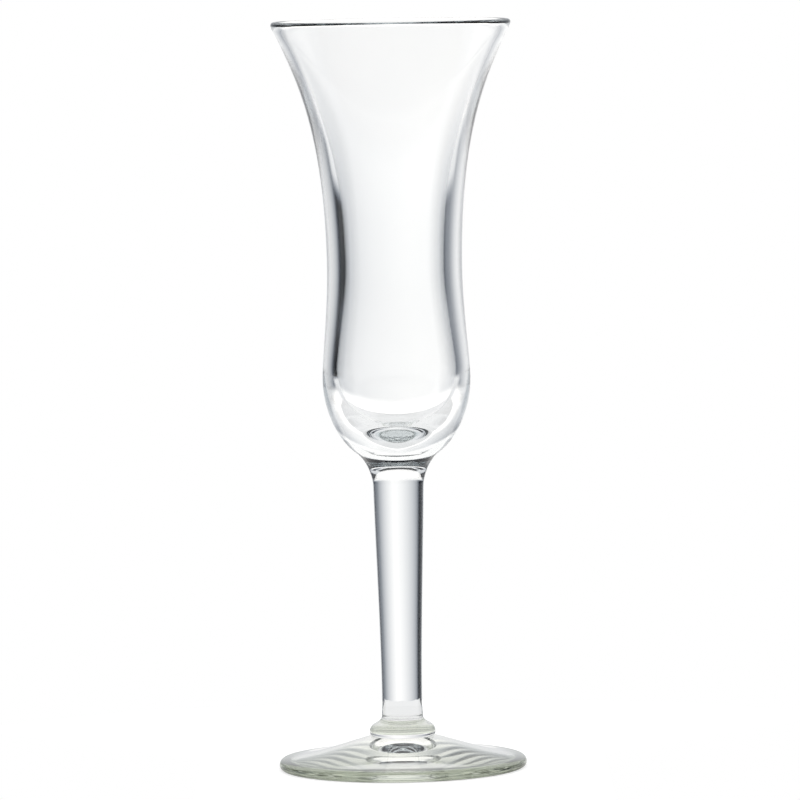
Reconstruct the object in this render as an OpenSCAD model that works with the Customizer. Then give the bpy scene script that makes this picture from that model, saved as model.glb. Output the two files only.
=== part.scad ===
// Cordial glass: a bell shaped bowl on a slender solid stem, a small collar and a domed foot.
// Each piece is a separate gather of glass. They are fused end to end while hot, so each
// joint is a flat disc of contact, and the outlines run on smoothly from piece to piece.
// Units are millimetres. The axis of the glass is Z and the foot rests on Z = 0.

/* [Foot] */
// Width across the foot
foot_d = 54.7; // [48:0.5:62]
// Thickness of the rounded edge of the foot
foot_edge_t = 2.4; // [2:0.1:3]
// Height of the foot under the collar
foot_h = 7.2; // [5.5:0.1:9]
// Width of the raised pad that carries the collar
foot_pad_d = 14; // [12.5:0.1:14.4]
// Slope of the foot beside the pad, in degrees
foot_pad_slope = 15.5; // [12:0.5:22]
// Slope of the foot beside its rounded edge, in degrees
foot_edge_slope = 4; // [2:0.5:7]
// Width of the flat ring that the foot rests on
rest_w = 1.6; // [1:0.1:3]
// Depth of the hollow under the middle of the foot
dish_h = 3; // [1:0.1:3.8]

/* [Collar] */
// Height of the collar
collar_h = 4.2; // [3.4:0.1:5.5]
// Width of the collar at its widest
collar_d = 14.6; // [14.4:0.1:17]
// Height of the widest place of the collar above the foot
collar_widest_h = 0.9; // [0.6:0.1:1.2]
// Radius of the rounded shoulder of the collar
collar_shoulder_r = 2; // [1.4:0.1:2.2]
// Lean of the collar from the axis where it leaves the foot, in degrees
collar_tuck_lean = 32; // [20:1:45]
// Lean of the collar from the axis where its shoulder turns up to the stem, in degrees
collar_lean = 55; // [45:1:60]

/* [Stem] */
// Length of the stem between its two joints
stem_l = 53.1; // [40:0.5:75]
// Width of the stem where it meets the collar
stem_foot_d = 9.2; // [8:0.1:11]
// Width of the stem at its thinnest
stem_min_d = 8.9; // [7.5:0.1:10]
// Height of the thinnest place above the collar
stem_min_h = 3; // [2:0.1:6]
// Width of the stem at its neck, where it begins to spread into the bowl
stem_neck_d = 11.18; // [9.6:0.1:11.6]
// Distance of the neck below the joint with the bowl
stem_neck_h = 2.4; // [1.5:0.1:4]
// Lean of the stem from the axis just below the neck, in degrees
stem_neck_lean = 1.4; // [0:0.1:2]
// Width of the joint between the stem and the bowl
joint_d = 11.7; // [11.7:0.1:14]

/* [Bowl outside] */
// Height of the widest place of the belly above the joint
belly_h = 21.8; // [18:0.2:26]
// Width across the belly
belly_d = 32.56; // [30:0.1:36]
// Height of the waist above the widest place of the belly
waist_h = 24.2; // [18:0.2:32]
// Width across the waist
waist_d = 29.76; // [26:0.1:31]
// Height of the top of the rim above the waist
flare_h = 54.5; // [44:0.5:66]
// Width across the rim
rim_d = 52.7; // [46:0.5:58]
// Lean of the wall from the axis where it meets the rim, in degrees
rim_lean = 26; // [20:1:32]
// Height above the joint where the base turns from hollow to rounded
turn_h = 5.5; // [4.5:0.1:7]
// Width of the base at that turn
turn_d = 18.5; // [17:0.1:21]
// Lean of the base at that turn, in degrees
turn_lean = 55; // [48:1:60]
// Lean of the glass at the joint with the stem, in degrees
joint_lean = 16; // [8:1:22]

/* [Bowl inside] */
// Thickness of the rounded bead round the rim
bead_t = 1.5; // [1.2:0.1:2.2]
// Thickness of the wall at the waist
waist_wall = 4; // [2.5:0.1:5]
// Thickness of the wall at the belly, down to the widest place of the inside
belly_wall = 3.08; // [2:0.02:4]
// Height of the widest place of the inside above that of the belly
belly_lift = 1.7; // [0.5:0.1:3]
// Thickness of the solid base between the joint and the inside
base_t = 9.2; // [8:0.1:10.5]
// Slope of the floor of the inside where it dips to its middle, in degrees
floor_dip = 5; // [0:1:8]

/* [Smoothness] */
// Steps along each long curve of an outline
curve_steps = 18; // [8:1:32]
// Steps along each short curve of an outline
short_steps = 9; // [4:1:16]
// Facets round the axis
round_steps = 128; // [64:16:192]

/* [Hidden] */
$fn = round_steps;

// Leans of an outline from the axis, in degrees: upwards, outwards and downwards
up = 0;
out = 90;
down = 180;

// Reach of each curve's two pulls, as shares of the distance between its ends
soft_shares = [0.33, 0.33];
foot_top_shares = [0.33, 0.33];
dish_shares = [0.45, 0.35];
collar_shares = [0.27, 0.32];
stem_shares = [0.31, 0.37];
base_hollow_shares = [0.45, 0.25];
base_round_shares = [0.19, 0.48];
belly_shares = [0.2, 0.4];
flare_shares = [0.55, 0.22];
inner_flare_shares = [0.36, 0.43];
inner_waist_shares = [0.29, 0.18];
inner_base_shares = [0.3, 0.5];

// Heights of the joints and of the bowl's landmarks above the table
collar_z = foot_h;
stem_z = collar_z + collar_h;
bowl_z = stem_z + stem_l;
turn_z = bowl_z + turn_h;
floor_z = bowl_z + base_t;
belly_z = bowl_z + belly_h;
waist_z = belly_z + waist_h;
rim_z = waist_z + flare_h;

foot_edge_r = foot_edge_t / 2;
bead_r = bead_t / 2;

// Unit step along an outline that leans from the axis by an angle
function heading(lean) = [sin(lean), cos(lean)];

// Point at share t of the curve from a to b, which leaves a and reaches b at the given leans
function curve_point(a, b, lean_a, lean_b, shares, t) =
    let (
        reach = norm(b - a),
        pull_a = a + heading(lean_a) * shares[0] * reach,
        pull_b = b - heading(lean_b) * shares[1] * reach,
        s = 1 - t
    )
    s * s * s * a + 3 * s * s * t * pull_a + 3 * s * t * t * pull_b + t * t * t * b;

// Points of that curve after a, up to and including b
function curve(a, b, lean_a, lean_b, shares, steps = curve_steps) =
    [for (i = [1 : steps]) curve_point(a, b, lean_a, lean_b, shares, i / steps)];

// Points of an arc about a centre, from one angle to another, both measured from +X
function arc(centre, r, from, to) =
    [for (i = [0 : short_steps])
        let (angle = from + (to - from) * i / short_steps)
        centre + r * [cos(angle), sin(angle)]];

// The same points without the first, which the outline has already reached
function after_first(points) = [for (i = [1 : len(points) - 1]) points[i]];

// Solid of one piece, turned from its outline
module turned(outline) rotate_extrude() polygon(outline);

// Domed disc with a rounded edge and a shallow hollow underneath
module foot() {
    edge = [foot_d / 2 - foot_edge_r, foot_edge_r];
    dish_top = [0, dish_h];
    rest_in = [edge.x - rest_w, 0];
    joint = [foot_pad_d / 2, collar_z];
    edge_arc = arc(edge, foot_edge_r, -out, out - foot_edge_slope);
    edge_top = edge_arc[short_steps];
    color([0.86, 0.9, 0.88, 0.6])
        turned(concat(
            [dish_top],
            curve(dish_top, rest_in, out, out + foot_edge_slope, dish_shares),
            edge_arc,
            curve(edge_top, joint, foot_edge_slope - out, foot_pad_slope - out, foot_top_shares),
            [[0, collar_z]]));
}

// Small disc of glass that ties the stem to the foot, rounded at its widest place and
// sloping up to the stem
module collar() {
    foot_joint = [foot_pad_d / 2, collar_z];
    widest = [collar_d / 2, collar_z + collar_widest_h];
    shoulder = widest - [collar_shoulder_r, 0];
    shoulder_arc = arc(shoulder, collar_shoulder_r, 0, collar_lean);
    shoulder_top = shoulder_arc[short_steps];
    stem_joint = [stem_foot_d / 2, stem_z];
    color([0.9, 0.93, 0.92, 0.6])
        turned(concat(
            [[0, collar_z], foot_joint],
            curve(foot_joint, widest, collar_tuck_lean, up, soft_shares, short_steps),
            after_first(shoulder_arc),
            curve(shoulder_top, stem_joint, -collar_lean, up, collar_shares, short_steps),
            [[0, stem_z]]));
}

// Solid stem, thinnest just above the collar and swelling gently up to the bowl
module stem() {
    foot_joint = [stem_foot_d / 2, stem_z];
    thinnest = [stem_min_d / 2, stem_z + stem_min_h];
    neck = [stem_neck_d / 2, bowl_z - stem_neck_h];
    bowl_joint = [joint_d / 2, bowl_z];
    color([0.88, 0.92, 0.92, 0.6])
        turned(concat(
            [[0, stem_z], foot_joint],
            curve(foot_joint, thinnest, up, up, soft_shares, short_steps),
            curve(thinnest, neck, up, stem_neck_lean, stem_shares),
            curve(neck, bowl_joint, stem_neck_lean, joint_lean, soft_shares, short_steps),
            [[0, bowl_z]]));
}

// Bell shaped bowl: a thick rounded base, a belly, a waist and a flare to a beaded rim.
// The wall is thickest at the waist and thins towards the rim.
module bowl() {
    joint = [joint_d / 2, bowl_z];
    turn = [turn_d / 2, turn_z];
    belly = [belly_d / 2, belly_z];
    waist = [waist_d / 2, waist_z];
    bead = [rim_d / 2 - bead_r, rim_z - bead_r];
    bead_arc = arc(bead, bead_r, -rim_lean, down - rim_lean);
    lip_out = bead_arc[0];
    lip_in = bead_arc[short_steps];
    inner_waist = waist - [waist_wall, 0];
    inner_belly = belly + [-belly_wall, belly_lift];
    inner_floor = [0, floor_z];
    color([0.92, 0.95, 0.95, 0.6])
        turned(concat(
            [[0, bowl_z], joint],
            curve(joint, turn, joint_lean, turn_lean, base_hollow_shares, short_steps),
            curve(turn, belly, turn_lean, up, base_round_shares),
            curve(belly, waist, up, up, belly_shares),
            curve(waist, lip_out, up, rim_lean, flare_shares),
            after_first(bead_arc),
            curve(lip_in, inner_waist, down + rim_lean, down, inner_flare_shares),
            curve(inner_waist, inner_belly, down, down, inner_waist_shares),
            curve(inner_belly, inner_floor, down, -out - floor_dip, inner_base_shares)));
}

foot();
collar();
stem();
bowl();
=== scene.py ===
"""Looks for the cordial glass: polished clear glass on a pale table, lit as for a catalogue."""
import math

import bmesh
import bpy
import numpy as np
from mathutils import Matrix


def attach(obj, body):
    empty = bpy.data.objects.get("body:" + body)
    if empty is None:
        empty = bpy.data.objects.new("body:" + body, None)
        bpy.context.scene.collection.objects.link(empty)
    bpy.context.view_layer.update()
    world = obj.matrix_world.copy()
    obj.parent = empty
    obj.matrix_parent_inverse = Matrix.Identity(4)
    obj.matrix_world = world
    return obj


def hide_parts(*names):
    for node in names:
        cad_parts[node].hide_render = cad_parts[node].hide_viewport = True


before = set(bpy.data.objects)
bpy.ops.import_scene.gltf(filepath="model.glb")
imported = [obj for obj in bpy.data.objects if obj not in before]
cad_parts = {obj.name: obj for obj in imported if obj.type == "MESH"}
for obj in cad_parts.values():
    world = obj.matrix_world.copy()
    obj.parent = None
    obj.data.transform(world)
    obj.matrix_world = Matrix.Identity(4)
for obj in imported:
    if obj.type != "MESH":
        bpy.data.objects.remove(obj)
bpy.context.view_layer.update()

MM = 0.001

# The camera that took the photograph, worked out from the ellipses of the rim and the foot
PHOTO_PX = 800
CAMERA_DISTANCE = 1505 * MM
CAMERA_HEIGHT = 192.5 * MM
CAMERA_SIDESTEP = 0.68 * MM
CAMERA_PITCH = math.radians(4.22)
CAMERA_ROLL = math.radians(1.0)
FOCAL_PX = 6852
SENSOR_WIDTH = 36.0

# Turning of the outlines into meshes: points round the axis, longest step along an outline,
# distances within which points are the same or on a straight line, the turn that makes a corner
# and the turn that is allowed between two points elsewhere
ROUND_STEPS = 256
OUTLINE_STEP = 0.35 * MM
SAME_POINT = 0.1e-6
STRAIGHT = 0.3e-6
CORNER = math.radians(35)
FINE_TURN = math.radians(3)

# Gap left at each fused joint, so that light meets its two faces one after the other
JOINT_GAP = 0.02 * MM

# Clip distances of the camera, in metres
NEAR_CLIP = 0.1
FAR_CLIP = 50

# Table: its outline in millimetres, narrow beside the foot and wide behind it. The camera sees
# it glow a little, so that it reads as white like the backdrop and keeps the soft shadow.
TABLE_OUTLINE = (
    (-45, -70), (45, -70), (45, 20), (100, 84), (65, 112), (0, 128), (-65, 112), (-100, 84),
    (-45, 20),
)
TABLE_COLOUR = (0.6, 0.6, 0.6, 1.0)
TABLE_GLOW = 0.6

# The table as the glass sees it: lit, but for a soft shadow under the front of the foot. Each
# pair is where a soft edge starts and ends, as distances from the axis or along Y.
TABLE_THROUGH_GLASS = 0.92
SHADOW_THROUGH_GLASS = 0.15
SHADOW_INNER = (11 * MM, 17 * MM)
SHADOW_OUTER = (31 * MM, 38 * MM)
SHADOW_BACK = (-14 * MM, 14 * MM)

# Glass: absorption colour and density of each piece
GLASS_IOR = 1.52
GLASS_TINT = {
    "foot": ((0.77, 0.79, 0.71, 1.0), 26.0),
    "collar": ((0.84, 0.85, 0.87, 1.0), 16.0),
    "stem": ((0.82, 0.85, 0.86, 1.0), 28.0),
    "bowl": ((0.82, 0.85, 0.86, 1.0), 22.0),
}

# Ripple that hand work leaves on the surface, and the faint change of colour along it
RIPPLE_HEIGHT = {"foot": 0.01 * MM, "collar": 0.04 * MM, "stem": 0.008 * MM, "bowl": 0.012 * MM}
RIPPLE_SCALE = 70.0
RIPPLE_DETAIL = 1.0
RIPPLE_STRETCH = (1.0, 1.0, 0.7)
SURFACE_CLEAR = (1.0, 1.0, 1.0, 1.0)
SURFACE_TINTED = (0.985, 0.99, 0.99, 1.0)

# Painted shade: a darker, deeper green put into the glass's colour towards the edge of the foot, by
# distance from the axis, which darkens the foot's ends
RIM_SHADE_COLOUR = (0.66, 0.7, 0.63, 1.0)
RIM_SHADE_FROM = 22.5 * MM
RIM_SHADE_FULL = 27 * MM

# Studio, as the glass sees it. Directions are in degrees, azimuths from straight ahead of the
# camera and growing to the right, elevations upwards. 1 is white.
# Brightness of the walls by azimuth: bright ahead, greyer to the right, with a narrow black
# flag on either side, and bright again beyond the flags
BACKDROP = (
    (-180, 0.72), (-110, 0.7), (-95, 0.8), (-79, 0.82), (-72, 0.01), (-49, 0.004), (-45, 0.02),
    (-40, 0.14), (-36, 0.35), (-30, 0.53), (-24, 0.67), (-15, 0.84), (-5, 1.0), (3, 1.09),
    (10, 1.09), (20, 0.9), (30, 0.68), (36, 0.52), (42, 0.4), (48, 0.3), (58, 0.19),
    (64, 0.05), (72, 0.03), (80, 0.82), (95, 0.8), (110, 0.7), (180, 0.72),
)
BACKDROP_BRIGHTEST = 2.0
FULL_TURN = 360

# Light over the backdrop, dark roof over all, dark wall high behind the camera, the bright far
# part of the table, and its plainer parts at the sides. Each pair is where a soft edge starts
# and ends, as an elevation or as an azimuth to either side.
OVERHEAD = 1.2
OVERHEAD_ELEVATION = (6, 20)
OVERHEAD_ASIDE = (62, 82)
ROOF = 0.01
ROOF_ELEVATION = (50, 55)
BEHIND_ASIDE = (76, 86)
BEHIND_ELEVATION = (12, 22)
FAR_TABLE = 1.4
FAR_TABLE_ELEVATION = (-27, -19)
FAR_TABLE_ASIDE = (36, 48)
SIDE_TABLE = 0.9
SIDE_TABLE_ELEVATION = (-17, -11)

# Share of the studio above the horizon that is seen mirrored in the glass, ahead and beside,
# and the elevations between which that share takes over from the whole
MIRRORED_SHARE = 0.6
MIRRORED_BESIDE = 0.3
MIRRORED_ASIDE = (55, 70)
HORIZON = (-8, 3)

# What the camera and the table's own surface see of the studio, whatever the direction
PLAIN_WHITE = 1.0

# Powers of the brightness in red, green and blue, which cool its greys
COOL_POWERS = (1.15, 1.09, 1.0)

# Bounces of light, and of mirrored light and light through the fused joints
LIGHT_BOUNCES = 48
MIRROR_BOUNCES = 32


def make_camera():
    """The camera, at the photograph's place and angle."""
    data = bpy.data.cameras.new("photo_camera")
    data.sensor_width = SENSOR_WIDTH
    data.lens = FOCAL_PX * SENSOR_WIDTH / PHOTO_PX
    data.clip_start = NEAR_CLIP
    data.clip_end = FAR_CLIP
    camera = bpy.data.objects.new("photo_camera", data)
    bpy.context.scene.collection.objects.link(camera)
    place = Matrix.Translation((CAMERA_SIDESTEP, -CAMERA_DISTANCE, CAMERA_HEIGHT))
    tilt = Matrix.Rotation(math.pi / 2 - CAMERA_PITCH, 4, "X")
    roll = Matrix.Rotation(-CAMERA_ROLL, 4, "Z")
    camera.matrix_world = place @ tilt @ roll
    bpy.context.scene.camera = camera


def seam_chain(mesh):
    """Points (radius, height) of a turned mesh where it crosses the half plane y = 0, x >= 0,
    in order along the outline."""
    points = np.array([v.co for v in mesh.vertices])
    on_seam = (abs(points[:, 1]) < SAME_POINT) & (points[:, 0] > -SAME_POINT)
    keys = [tuple(np.round(p[[0, 2]] / SAME_POINT).astype(int)) for p in points]
    place = {keys[i]: points[i][[0, 2]] for i in np.flatnonzero(on_seam)}
    beside = {}
    for edge in mesh.edges:
        a, b = edge.vertices
        if on_seam[a] and on_seam[b] and keys[a] != keys[b]:
            beside.setdefault(keys[a], set()).add(keys[b])
            beside.setdefault(keys[b], set()).add(keys[a])
    ends = [k for k in beside if len(beside[k]) == 1]
    start = min(ends, key=lambda k: (place[k][1], place[k][0]))
    chain, seen = [start], {start}
    while True:
        onward = [k for k in beside[chain[-1]] if k not in seen]
        if not onward:
            return np.array([place[k] for k in chain])
        chain.append(onward[0])
        seen.add(onward[0])


def turn_at(points, j):
    """Angle by which an outline turns at its point j."""
    a = points[j] - points[j - 1]
    b = points[j + 1] - points[j]
    return abs(math.atan2(a[0] * b[1] - a[1] * b[0], a @ b))


def bend_points(chain):
    """The outline without the points that lie on a straight stretch."""
    kept = [chain[0]]
    for here, after in zip(chain[1:-1], chain[2:]):
        along = after - kept[-1]
        off = here - kept[-1]
        if abs(along[0] * off[1] - along[1] * off[0]) / np.linalg.norm(along) > STRAIGHT:
            kept.append(here)
    kept.append(chain[-1])
    return np.array(kept)


def spline(points):
    """Points close together on the natural cubic spline through the given ones."""
    n = len(points)
    if n < 3:
        return points
    lengths = np.linalg.norm(np.diff(points, axis=0), axis=1)
    system = np.eye(n)
    right = np.zeros((n, 2))
    for i in range(1, n - 1):
        before, after = lengths[i - 1], lengths[i]
        system[i, i - 1 : i + 2] = before, 2 * (before + after), after
        right[i] = 6 * ((points[i + 1] - points[i]) / after - (points[i] - points[i - 1]) / before)
    bends = np.linalg.solve(system, right)
    turns = [0.0] + [turn_at(points, j) for j in range(1, n - 1)] + [0.0]
    made = [points[0]]
    for i, length in enumerate(lengths):
        count = max(1, math.ceil(length / OUTLINE_STEP), math.ceil(max(turns[i : i + 2]) / FINE_TURN))
        for k in range(1, count + 1):
            b = length * k / count
            a = length - b
            made.append(
                (bends[i] * a ** 3 + bends[i + 1] * b ** 3) / (6 * length)
                + (points[i] / length - bends[i] * length / 6) * a
                + (points[i + 1] / length - bends[i + 1] * length / 6) * b
            )
    return np.array(made)


def smooth_outline(chain):
    """The outline of a node, smoothed between its corners, and the places of those corners."""
    points = bend_points(chain)
    corners = [j for j in range(1, len(points) - 1) if turn_at(points, j) > CORNER]
    stops = [0] + corners + [len(points) - 1]
    outline, sharp = [points[0]], []
    for a, b in zip(stops, stops[1:]):
        outline.extend(spline(points[a : b + 1])[1:])
        sharp.append(len(outline) - 1)
    return np.clip(outline, chain.min(axis=0), chain.max(axis=0)), sharp[:-1]


def ring_of_points(bm, r, z):
    """The points of a turned mesh at one place of its outline: a ring, or one on the axis."""
    steps = ROUND_STEPS if r > SAME_POINT else 1
    angles = [2 * math.pi * i / ROUND_STEPS for i in range(steps)]
    return [bm.verts.new((r * math.cos(a), r * math.sin(a), z)) for a in angles]


def turned_mesh(name, outline, sharp, ends):
    """A closed mesh turned from an outline, with creases at the places in sharp and flat joint
    faces at those in ends, which carry the attribute "weld"."""
    bm = bmesh.new()
    weld = bm.faces.layers.float.new("weld")
    rings = [ring_of_points(bm, r, z) for r, z in outline]
    round_pairs = [(i, (i + 1) % ROUND_STEPS) for i in range(ROUND_STEPS)]
    for low, high in zip(rings, rings[1:]):
        for i, k in round_pairs:
            corners = [low[i % len(low)], low[k % len(low)], high[k % len(high)], high[i % len(high)]]
            bm.faces.new(list(dict.fromkeys(corners)))
    for j in ends:
        centre = bm.verts.new((0, 0, outline[j][1]))
        for i, k in round_pairs:
            bm.faces.new([centre, rings[j][i], rings[j][k]])[weld] = 1.0
    for face in bm.faces:
        face.smooth = True
    for j in sharp + ends:
        for i, k in round_pairs:
            bm.edges.get([rings[j][i], rings[j][k]]).smooth = False
    bmesh.ops.recalc_face_normals(bm, faces=bm.faces)
    mesh = bpy.data.meshes.new(name)
    bm.to_mesh(mesh)
    bm.free()
    return mesh


def turned_piece(name, node, material):
    """The visual piece of a node, turned from its outline. It stops half a gap short of each
    flat joint, which is where the outline ends away from the axis."""
    outline, sharp = smooth_outline(seam_chain(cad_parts[node].data))
    ends = [j for j in (0, len(outline) - 1) if outline[j][0] > SAME_POINT]
    for j in ends:
        outline[j][1] += JOINT_GAP / 2 * (1 if j == 0 else -1)
    mesh = turned_mesh(name, outline, sharp, ends)
    mesh.materials.append(material)
    piece = bpy.data.objects.new(name, mesh)
    bpy.context.scene.collection.objects.link(piece)
    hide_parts(node)
    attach(piece, "root")


def math_node(tree, operation, a, b=None):
    """Output of a Math node, whose inputs are numbers or other outputs."""
    node = tree.nodes.new("ShaderNodeMath")
    node.operation = operation
    for socket, value in zip(node.inputs, (a, b)):
        if isinstance(value, (int, float)):
            socket.default_value = value
        elif value is not None:
            tree.links.new(value, socket)
    return node.outputs[0]


def ramp(tree, value, start, end, a, b):
    """Smooth change from a to b while value goes from start to end."""
    node = tree.nodes.new("ShaderNodeMapRange")
    node.interpolation_type = "SMOOTHSTEP"
    tree.links.new(value, node.inputs["Value"])
    for name, number in (("From Min", start), ("From Max", end), ("To Min", a), ("To Max", b)):
        node.inputs[name].default_value = number
    return node.outputs[0]


def mix(tree, share, a, b):
    """a where share is 0 and b where it is 1."""
    node = tree.nodes.new("ShaderNodeMix")
    node.data_type = "FLOAT"
    for socket, value in zip(node.inputs[:1] + node.inputs[2:4], (share, a, b)):
        if isinstance(value, (int, float)):
            socket.default_value = value
        else:
            tree.links.new(value, socket)
    return node.outputs[0]


def both(tree, a, b):
    """Product of two shares or brightnesses."""
    return math_node(tree, "MULTIPLY", a, b)


def new_material(name):
    """A node material with nothing in it but its output."""
    material = bpy.data.materials.new(name)
    material.use_nodes = True
    tree = material.node_tree
    tree.nodes.clear()
    return material, tree, tree.nodes.new("ShaderNodeOutputMaterial")


def object_place(tree):
    """The place in the shared frame, which is the same for every piece."""
    return tree.nodes.new("ShaderNodeTexCoord").outputs["Object"]


def axis_distance(tree):
    """Distance from the axis of the glass."""
    flat = tree.nodes.new("ShaderNodeVectorMath")
    flat.operation = "MULTIPLY"
    flat.inputs[1].default_value = (1.0, 1.0, 0.0)
    tree.links.new(object_place(tree), flat.inputs[0])
    length = tree.nodes.new("ShaderNodeVectorMath")
    length.operation = "LENGTH"
    tree.links.new(flat.outputs[0], length.inputs[0])
    return length.outputs["Value"]


def mix_colour(tree, share, a, b):
    """Colour a where share is 0 and colour b where it is 1."""
    node = tree.nodes.new("ShaderNodeMix")
    node.data_type = "RGBA"
    tree.links.new(share, node.inputs[0])
    for socket, value in zip(node.inputs[6:8], (a, b)):
        if isinstance(value, tuple):
            socket.default_value = value
        else:
            tree.links.new(value, socket)
    return node.outputs[2]


def ripple(tree, height):
    """Normal and colour of a surface with a soft ripple."""
    stretch = tree.nodes.new("ShaderNodeMapping")
    stretch.inputs["Scale"].default_value = RIPPLE_STRETCH
    tree.links.new(object_place(tree), stretch.inputs["Vector"])
    noise = tree.nodes.new("ShaderNodeTexNoise")
    noise.inputs["Scale"].default_value = RIPPLE_SCALE
    noise.inputs["Detail"].default_value = RIPPLE_DETAIL
    tree.links.new(stretch.outputs["Vector"], noise.inputs["Vector"])
    bump = tree.nodes.new("ShaderNodeBump")
    bump.inputs["Strength"].default_value = 1.0
    bump.inputs["Distance"].default_value = height
    tree.links.new(noise.outputs["Fac"], bump.inputs["Height"])
    colour = mix_colour(tree, noise.outputs["Fac"], SURFACE_CLEAR, SURFACE_TINTED)
    return bump.outputs["Normal"], colour


def clear_at_joints(tree, surface):
    """The surface, but with nothing at all on the joint faces, so that light goes straight on."""
    weld = tree.nodes.new("ShaderNodeAttribute")
    weld.attribute_name = "weld"
    joint = tree.nodes.new("ShaderNodeBsdfTransparent")
    chosen = tree.nodes.new("ShaderNodeMixShader")
    for socket, value in zip(chosen.inputs, (weld.outputs["Fac"], surface, joint.outputs[0])):
        tree.links.new(value, socket)
    return chosen.outputs[0]


def make_glass(node):
    """Polished glass, faintly rippled and faintly green where it is thick, with painted shade: a
    darker green colour towards the edge of the foot."""
    material, tree, out = new_material("clear_glass_" + node)
    normal, colour = ripple(tree, RIPPLE_HEIGHT[node])
    # Painted shade: the foot's colour turns a darker green towards its edge, which darkens its ends
    if node == "foot":
        edge = ramp(tree, axis_distance(tree), RIM_SHADE_FROM, RIM_SHADE_FULL, 0.0, 1.0)
        colour = mix_colour(tree, edge, colour, RIM_SHADE_COLOUR)
    glass = tree.nodes.new("ShaderNodeBsdfPrincipled")
    glass.inputs["Roughness"].default_value = 0.0
    glass.inputs["IOR"].default_value = GLASS_IOR
    glass.inputs["Transmission Weight"].default_value = 1.0
    tree.links.new(normal, glass.inputs["Normal"])
    tree.links.new(colour, glass.inputs["Base Color"])
    tree.links.new(clear_at_joints(tree, glass.outputs[0]), out.inputs["Surface"])
    tint = tree.nodes.new("ShaderNodeVolumeAbsorption")
    tint.inputs["Color"].default_value, tint.inputs["Density"].default_value = GLASS_TINT[node]
    tree.links.new(tint.outputs[0], out.inputs["Volume"])
    return material


def backdrop_light(tree, azimuth):
    """Brightness of the backdrop at an azimuth."""
    node = tree.nodes.new("ShaderNodeFloatCurve")
    line = node.mapping.curves[0]
    for _ in range(len(BACKDROP) - len(line.points)):
        line.points.new(0.5, 0.5)
    for point, (angle, light) in zip(line.points, BACKDROP):
        point.location = (angle / FULL_TURN + 0.5, light / BACKDROP_BRIGHTEST)
        point.handle_type = "VECTOR"
    node.mapping.update()
    share = math_node(tree, "ADD", math_node(tree, "DIVIDE", azimuth, FULL_TURN), 0.5)
    tree.links.new(share, node.inputs["Value"])
    return math_node(tree, "MULTIPLY", node.outputs[0], BACKDROP_BRIGHTEST)


def studio_light(tree, azimuth, elevation):
    """Brightness of the studio in a direction, as the glass sees it."""
    aside = math_node(tree, "ABSOLUTE", azimuth)
    high = ramp(tree, elevation, *OVERHEAD_ELEVATION, 0.0, 1.0)
    beside = ramp(tree, aside, *OVERHEAD_ASIDE, 1.0, 0.0)
    light = mix(tree, both(tree, high, beside), backdrop_light(tree, azimuth), OVERHEAD)
    roof = ramp(tree, elevation, *ROOF_ELEVATION, 0.0, 1.0)
    behind = ramp(tree, aside, *BEHIND_ASIDE, 0.0, 1.0)
    wall = both(tree, behind, ramp(tree, elevation, *BEHIND_ELEVATION, 0.0, 1.0))
    light = mix(tree, math_node(tree, "MAXIMUM", roof, wall), light, ROOF)
    low = ramp(tree, elevation, *FAR_TABLE_ELEVATION, 1.0, 0.0)
    low_aside = ramp(tree, elevation, *SIDE_TABLE_ELEVATION, 1.0, 0.0)
    side = ramp(tree, aside, *FAR_TABLE_ASIDE, 0.0, 1.0)
    far_table = mix(tree, side, FAR_TABLE, SIDE_TABLE)
    return mix(tree, mix(tree, side, low, low_aside), light, far_table)


def seen_light(tree, light, azimuth, elevation):
    """The studio's brightness for each kind of ray: all of it through glass, a share of it
    mirrored in glass, and plain white for the camera and for the table's own surface."""
    path = tree.nodes.new("ShaderNodeLightPath").outputs
    mirrored = math_node(tree, "SUBTRACT", path["Is Glossy Ray"], path["Is Transmission Ray"])
    aside = math_node(tree, "ABSOLUTE", azimuth)
    above = ramp(tree, aside, *MIRRORED_ASIDE, MIRRORED_SHARE, MIRRORED_BESIDE)
    share = mix(tree, ramp(tree, elevation, *HORIZON, 0.0, 1.0), 1.0, above)
    light = mix(tree, mirrored, light, both(tree, light, share))
    plain = math_node(tree, "MAXIMUM", path["Is Camera Ray"], path["Is Diffuse Ray"])
    return mix(tree, plain, light, PLAIN_WHITE)


def make_world():
    """The studio, painted on the world by direction."""
    world = bpy.data.worlds.new("studio")
    bpy.context.scene.world = world
    world.use_nodes = True
    tree = world.node_tree
    tree.nodes.clear()
    split = tree.nodes.new("ShaderNodeSeparateXYZ")
    tree.links.new(tree.nodes.new("ShaderNodeTexCoord").outputs["Generated"], split.inputs[0])
    x, y, z = split.outputs
    azimuth = math_node(tree, "DEGREES", math_node(tree, "ARCTAN2", x, y))
    elevation = math_node(tree, "DEGREES", math_node(tree, "ARCSINE", z))
    seen = seen_light(tree, studio_light(tree, azimuth, elevation), azimuth, elevation)
    colour = tree.nodes.new("ShaderNodeCombineColor")
    for socket, power in zip(colour.inputs, COOL_POWERS):
        tree.links.new(math_node(tree, "POWER", seen, power), socket)
    background = tree.nodes.new("ShaderNodeBackground")
    tree.links.new(colour.outputs[0], background.inputs["Color"])
    out = tree.nodes.new("ShaderNodeOutputWorld")
    tree.links.new(background.outputs[0], out.inputs["Surface"])


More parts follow.
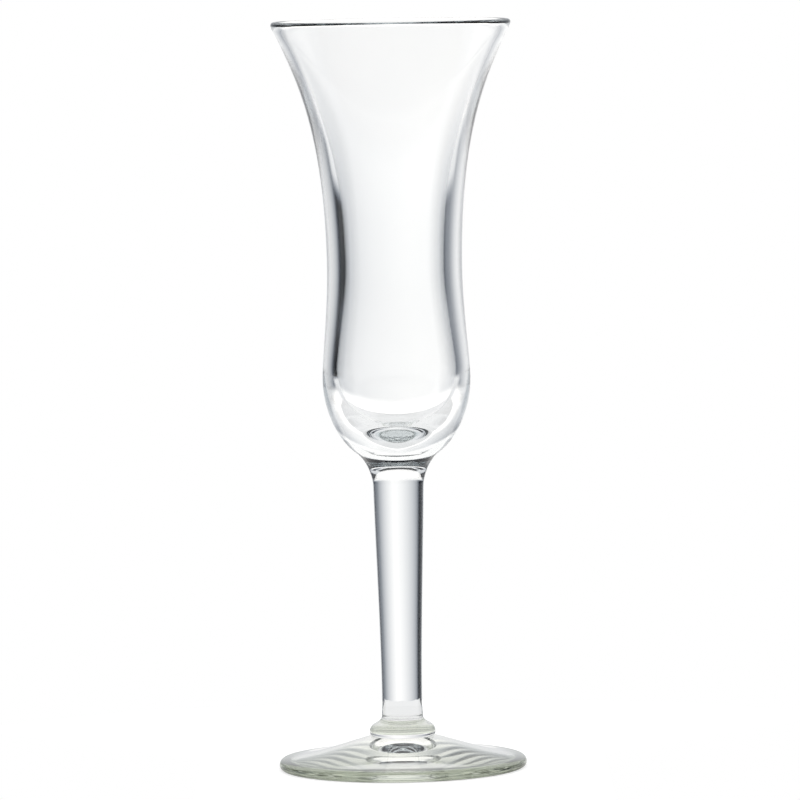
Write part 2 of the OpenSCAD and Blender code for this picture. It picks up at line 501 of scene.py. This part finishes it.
def shadow_share(tree):
    """1 in the soft shadow under the front of the foot, and 0 on the rest of the table."""
    split = tree.nodes.new("ShaderNodeSeparateXYZ")
    tree.links.new(object_place(tree), split.inputs[0])
    distance = axis_distance(tree)
    outside = ramp(tree, distance, *SHADOW_INNER, 0.0, 1.0)
    inside = ramp(tree, distance, *SHADOW_OUTER, 1.0, 0.0)
    in_front = ramp(tree, split.outputs["Y"], *SHADOW_BACK, 1.0, 0.0)
    return both(tree, both(tree, outside, inside), in_front)


def make_table_material():
    """Pale and matt to the camera, with its shadow; to the glass, lit but for one soft shadow."""
    material, tree, out = new_material("pale_table")
    path = tree.nodes.new("ShaderNodeLightPath").outputs
    matt = tree.nodes.new("ShaderNodeBsdfDiffuse")
    matt.inputs["Color"].default_value = TABLE_COLOUR
    glow = tree.nodes.new("ShaderNodeEmission")
    tree.links.new(both(tree, path["Is Camera Ray"], TABLE_GLOW), glow.inputs["Strength"])
    plain = tree.nodes.new("ShaderNodeAddShader")
    tree.links.new(matt.outputs[0], plain.inputs[0])
    tree.links.new(glow.outputs[0], plain.inputs[1])
    through = tree.nodes.new("ShaderNodeEmission")
    light = mix(tree, shadow_share(tree), TABLE_THROUGH_GLASS, SHADOW_THROUGH_GLASS)
    tree.links.new(light, through.inputs["Strength"])
    by_glass = math_node(tree, "MAXIMUM", path["Is Transmission Ray"], path["Is Glossy Ray"])
    seen = tree.nodes.new("ShaderNodeMixShader")
    for socket, value in zip(seen.inputs, (by_glass, plain.outputs[0], through.outputs[0])):
        tree.links.new(value, socket)
    tree.links.new(seen.outputs[0], out.inputs["Surface"])
    return material


def make_table():
    """The table top, which isn't part of the glass."""
    mesh = bpy.data.meshes.new("table_top")
    corners = [(x * MM, y * MM, 0.0) for x, y in TABLE_OUTLINE]
    mesh.from_pydata(corners, [], [range(len(corners))])
    mesh.materials.append(make_table_material())
    table = bpy.data.objects.new("table_top", mesh)
    bpy.context.scene.collection.objects.link(table)


def set_render(scene):
    """Plain view, and enough bounces for light to pass through all the glass."""
    scene.view_settings.view_transform = "Standard"
    scene.cycles.max_bounces = LIGHT_BOUNCES
    scene.cycles.transmission_bounces = LIGHT_BOUNCES
    scene.cycles.glossy_bounces = MIRROR_BOUNCES
    scene.cycles.transparent_max_bounces = MIRROR_BOUNCES


make_camera()
for node_name in ("foot", "collar", "stem", "bowl"):
    turned_piece("glass_" + node_name, node_name, make_glass(node_name))
make_world()
make_table()
set_render(bpy.context.scene)
